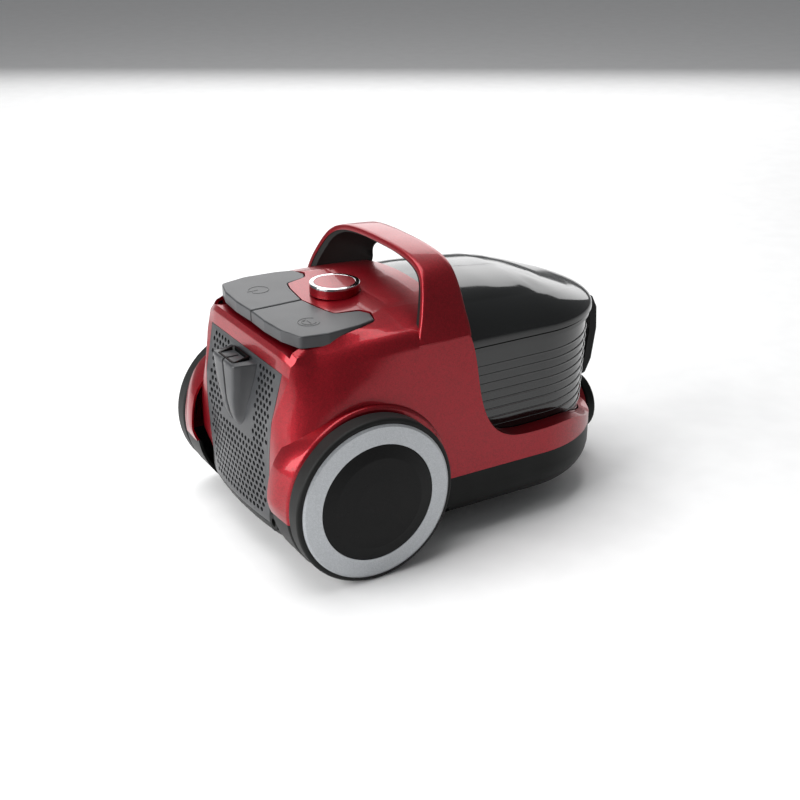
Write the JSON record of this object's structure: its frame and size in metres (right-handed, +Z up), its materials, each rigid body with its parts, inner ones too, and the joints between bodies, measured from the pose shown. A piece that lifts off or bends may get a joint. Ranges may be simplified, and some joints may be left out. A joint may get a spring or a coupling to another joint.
{
  "type": "canister vacuum cleaner",
  "caption": "Bagless canister vacuum cleaner on wheels, with a lift-out clear dust bin, carry handle, rear exhaust grille and foot pedals.",
  "frame": {"origin": "on the floor, below the middle of the machine's bounding box", "axes": "+X towards the hose port in the direction of travel, +Y to the left, +Z up"},
  "size_m": [0.422, 0.286, 0.287],
  "materials": {
    "red_gloss": "gloss",
    "black_gloss": "gloss",
    "black_satin": "satin",
    "grey_satin": "satin",
    "smoked_clear": "clear, smoked",
    "tyre_rubber": "matt",
    "trim_silver": "satin",
    "chrome_trim": "polished",
    "steel": "turned",
    "soft_rubber": "matt",
    "inner_grey": "matt",
    "motor_steel": "rolled",
    "copper_core": "wound",
    "filter_paper": "pleated",
    "foam": "open cell",
    "board_green": "satin"
  },
  "bodies": {
    "body": {"upper_shell": "red_gloss", "base_tray": "black_satin", "handle_cover": "red_gloss", "handle_grip": "black_satin", "potentiometer": "inner_grey", "control_board": "board_green", "pedal_pins": "steel", "power_pedal_spring": "steel", "rewind_pedal_spring": "steel", "power_switch": "inner_grey", "filter_frame": "inner_grey", "filter_media": "filter_paper", "cord_bush": "soft_rubber", "bulkhead": "black_satin", "motor_filter_frame": "inner_grey", "motor_filter_foam": "foam", "front_mount": "soft_rubber", "motor_end_cover": "inner_grey", "motor_housing": "motor_steel", "rear_mount": "soft_rubber", "reel_axle": "steel", "port_snout": "red_gloss", "port_collar": "black_satin", "inlet_duct": "black_satin", "shell_screws": "steel", "axle_left": "steel", "axle_right": "steel"},
    "knob": {"speed_knob": "red_gloss", "knob_trim_ring": "chrome_trim"},
    "power_pedal": {"power_pedal": "grey_satin"},
    "rewind_pedal": {"rewind_pedal": "grey_satin"},
    "switch_plunger": {"switch_plunger": "inner_grey"},
    "brake_plunger": {"brake_plunger": "inner_grey"},
    "grille_door": {"rear_grille": "grey_satin", "parking_bracket": "grey_satin"},
    "motor_spindle": {"motor_rotor": "copper_core", "motor_fan": "motor_steel"},
    "reel": {"cord_reel": "inner_grey"},
    "wheel_left": {"tyre_left": "tyre_rubber", "rim_left": "black_satin", "trim_ring_left": "trim_silver", "wheel_cap_left": "black_gloss"},
    "wheel_right": {"tyre_right": "tyre_rubber", "rim_right": "black_satin", "trim_ring_right": "trim_silver", "wheel_cap_right": "black_gloss"},
    "caster": {"caster_fork": "black_satin", "caster_axle": "steel"},
    "caster_roller": {"caster_wheel": "black_satin"},
    "dust_bin": {"bin_bucket": "smoked_clear", "lid_hinge_pin": "steel", "bin_handle": "black_gloss", "cyclone_cone": "inner_grey", "cyclone_shroud": "black_satin"},
    "bin_lid": {"bin_lid": "smoked_clear", "lid_seal": "soft_rubber"},
    "release_button": {"bin_release_button": "black_satin"}
  },
  "joints": [
    {"name": "knob_turn", "type": "hinge", "parent": "body", "child": "knob", "pos_m": [-0.097, 0, 0.24], "axis": [0, 0, -1], "range_deg": [0, 270]},
    {"name": "power_pedal_press", "type": "hinge", "parent": "body", "child": "power_pedal", "pos_m": [-0.108, 0, 0.2225], "axis": [0, -1, 0], "range_deg": [0, 3], "stiffness_Nm_per_rad": 8, "springref_deg": -1.72, "deforming": ["power_pedal_spring"]},
    {"name": "rewind_pedal_press", "type": "hinge", "parent": "body", "child": "rewind_pedal", "pos_m": [-0.108, 0, 0.2225], "axis": [0, -1, 0], "range_deg": [0, 3], "stiffness_Nm_per_rad": 8, "springref_deg": -1.72, "deforming": ["rewind_pedal_spring"]},
    {"name": "switch_plunger_slide", "type": "slide", "parent": "body", "child": "switch_plunger", "axis": [0, 0, -1], "range_m": [0, 0.0024]},
    {"name": "brake_plunger_slide", "type": "slide", "parent": "body", "child": "brake_plunger", "axis": [0, 0, -1], "range_m": [0, 0.0024]},
    {"name": "grille_release", "type": "slide", "parent": "body", "child": "grille_door", "axis": [-1, 0, 0], "range_m": [0, 0.06]},
    {"name": "motor_spin", "type": "hinge", "parent": "body", "child": "motor_spindle", "pos_m": [-0.1, 0.04, 0.104], "axis": [1, 0, 0], "continuous": true},
    {"name": "reel_spin", "type": "hinge", "parent": "body", "child": "reel", "pos_m": [-0.1, -0.07, 0.104], "axis": [0, 1, 0], "continuous": true},
    {"name": "wheel_left_spin", "type": "hinge", "parent": "body", "child": "wheel_left", "pos_m": [-0.131, 0.13, 0.08], "axis": [0, 1, 0], "continuous": true},
    {"name": "wheel_right_spin", "type": "hinge", "parent": "body", "child": "wheel_right", "pos_m": [-0.131, -0.13, 0.08], "axis": [0, 1, 0], "continuous": true},
    {"name": "caster_swivel", "type": "hinge", "parent": "body", "child": "caster", "pos_m": [0.122, 0, 0.03], "axis": [0, 0, 1], "continuous": true},
    {"name": "caster_roll", "type": "hinge", "parent": "caster", "child": "caster_roller", "pos_m": [0.113, 0, 0.012], "axis": [0, 1, 0], "continuous": true},
    {"name": "bin_lift", "type": "slide", "parent": "body", "child": "dust_bin", "axis": [0, 0, 1], "range_m": [0, 0.17]},
    {"name": "lid_open", "type": "hinge", "parent": "dust_bin", "child": "bin_lid", "pos_m": [0.1865, 0, 0.189], "axis": [0, 1, 0], "range_deg": [0, 75]},
    {"name": "release_button_press", "type": "slide", "parent": "dust_bin", "child": "release_button", "axis": [-1, 0, 0], "range_m": [0, 0.002], "stiffness_N_per_m": 400, "springref_m": -0.002}
  ],
  "couplings": [
    {"joint": "switch_plunger_slide", "follows": "power_pedal_press", "m_per_rad": 0.042},
    {"joint": "brake_plunger_slide", "follows": "rewind_pedal_press", "m_per_rad": 0.042}
  ]
}
